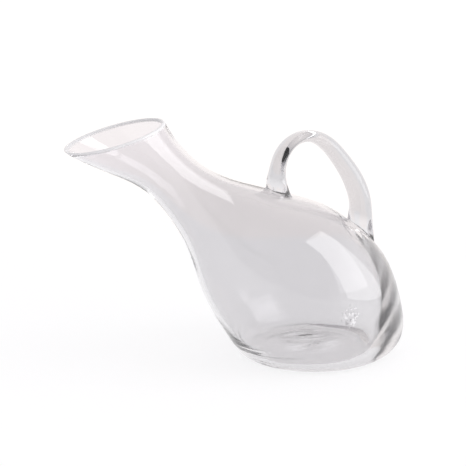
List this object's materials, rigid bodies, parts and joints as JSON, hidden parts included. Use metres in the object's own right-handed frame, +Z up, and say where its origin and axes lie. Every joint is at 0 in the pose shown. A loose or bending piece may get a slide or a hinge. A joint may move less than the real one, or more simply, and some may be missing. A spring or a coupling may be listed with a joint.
{
  "type": "wine decanter",
  "caption": "Clear blown-glass decanter lying back on a flat foot, with a flared slanting neck, oval pouring mouth, heavy base and a loop handle.",
  "frame": {"origin": "middle of the overall length, on the surface that the foot stands on", "axes": "+X from the mouth towards the heavy back, +Z up, Y = 0 is the plane of symmetry"},
  "size_m": [0.2858, 0.142, 0.2057],
  "materials": {
    "glass": "clear, fire-polished"
  },
  "bodies": {
    "root": {"decanter": "glass"}
  },
  "joints": []
}
